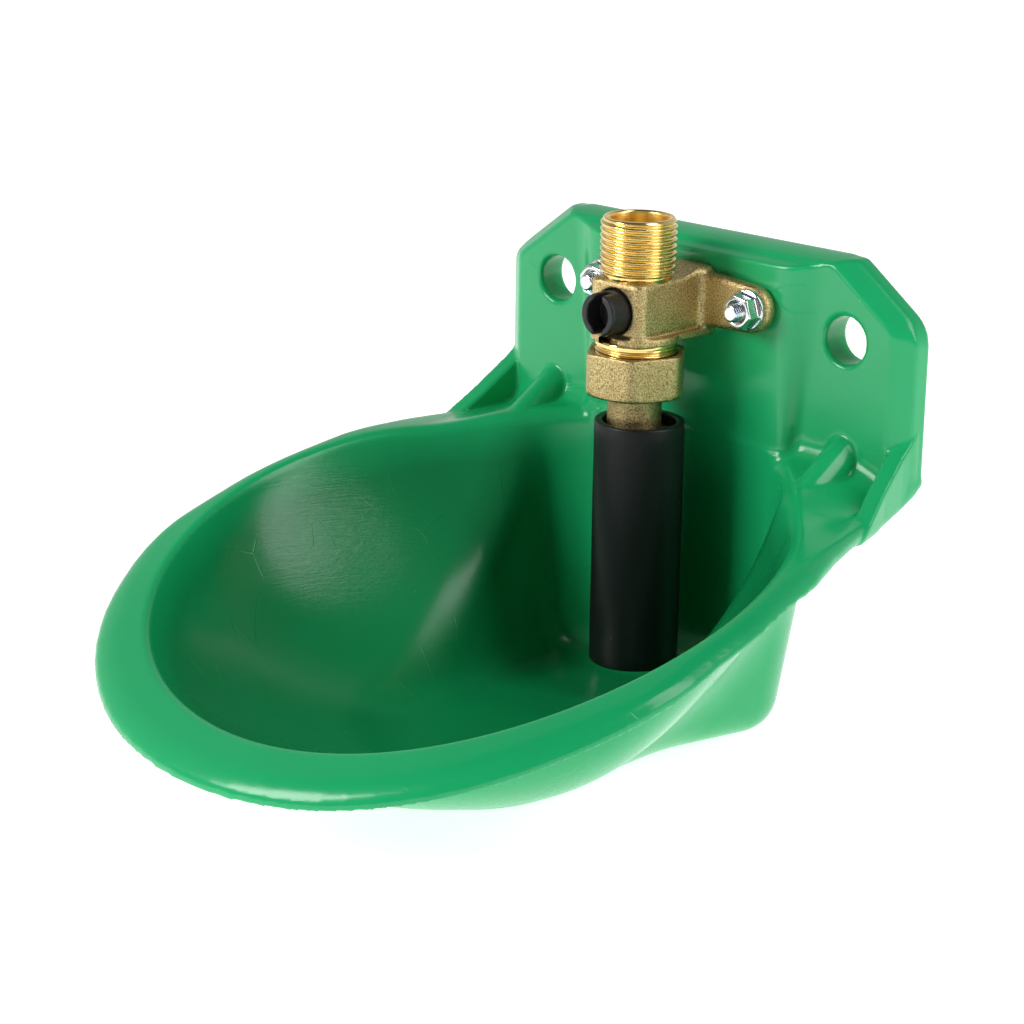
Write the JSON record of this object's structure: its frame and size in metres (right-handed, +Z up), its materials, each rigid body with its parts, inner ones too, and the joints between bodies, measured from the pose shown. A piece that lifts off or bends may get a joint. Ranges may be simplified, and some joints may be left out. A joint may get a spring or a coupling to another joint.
{
  "type": "livestock drinking bowl with tube valve",
  "caption": "Wall-hung plastic livestock drinking bowl with a brass tube-operated valve: pushing the hanging tube tilts it, lifts the valve and fills the basin.",
  "frame": {"origin": "on the wall plane, midway between the centres of the two wall-bolt holes", "axes": "+Z up along the inlet thread, +Y into the wall, the basin reaches forward along -Y, +X to the right seen from the front"},
  "size_m": [0.192, 0.196, 0.1419],
  "materials": {
    "green_plastic": "injection-moulded polypropylene, glossy with fine scuffs",
    "cast_brass": "sand-cast brass, matte and grainy, threads turned bright",
    "stem_brass": "cast brass, darker and unpolished",
    "turned_brass": "turned brass",
    "black_tube": "extruded black polyethylene, lightly scratched",
    "black_plastic": "moulded black nylon",
    "seal_rubber": "black nitrile rubber",
    "zinc_steel": "bright zinc-plated steel",
    "strainer_steel": "stainless sheet",
    "spring_steel": "stainless spring wire",
    "white_plastic": "natural acetal"
  },
  "bodies": {
    "root": {"bowl": "green_plastic", "valve_body": "cast_brass", "union_nut": "cast_brass", "clamp_bolts": "zinc_steel", "clamp_nuts": "zinc_steel", "clamp_washers": "zinc_steel", "strainer_frame": "white_plastic", "strainer_mesh": "strainer_steel", "seat_insert": "turned_brass", "seat_o_ring": "seal_rubber", "poppet_spring": "spring_steel"},
    "swivel": {"thrust_washer": "white_plastic"},
    "tube": {"drop_stem": "stem_brass", "drop_tube": "black_tube"},
    "poppet": {"poppet": "turned_brass", "poppet_washer": "seal_rubber", "poppet_clip": "strainer_steel"},
    "regulator_slide": {"regulator_o_ring": "seal_rubber"},
    "regulator": {"regulator_screw": "black_plastic"}
  },
  "joints": [
    {"name": "tube_direction", "type": "hinge", "parent": "root", "child": "swivel", "pos_m": [0, -0.0344, -0.017], "axis": [0, 0, 1], "continuous": true},
    {"name": "tube_tilt", "type": "hinge", "parent": "swivel", "child": "tube", "pos_m": [0, -0.0444, -0.01645], "axis": [1, 0, 0], "range_deg": [0, 5]},
    {"name": "poppet_lift", "type": "slide", "parent": "root", "child": "poppet", "axis": [0, 0, 1], "range_m": [0, 0.00095], "deforming": ["poppet_spring"]},
    {"name": "regulator_travel", "type": "slide", "parent": "root", "child": "regulator_slide", "axis": [0, 1, 0], "range_m": [0, 0.002]},
    {"name": "regulator_turn", "type": "hinge", "parent": "regulator_slide", "child": "regulator", "pos_m": [0, -0.045, 0.0045], "axis": [0, 1, 0], "range_deg": [0, 580]}
  ],
  "couplings": [
    {"joint": "poppet_lift", "follows": "tube_tilt", "m_per_rad": 0.0105},
    {"joint": "regulator_turn", "follows": "regulator_travel", "rad_per_m": 5026.5}
  ]
}
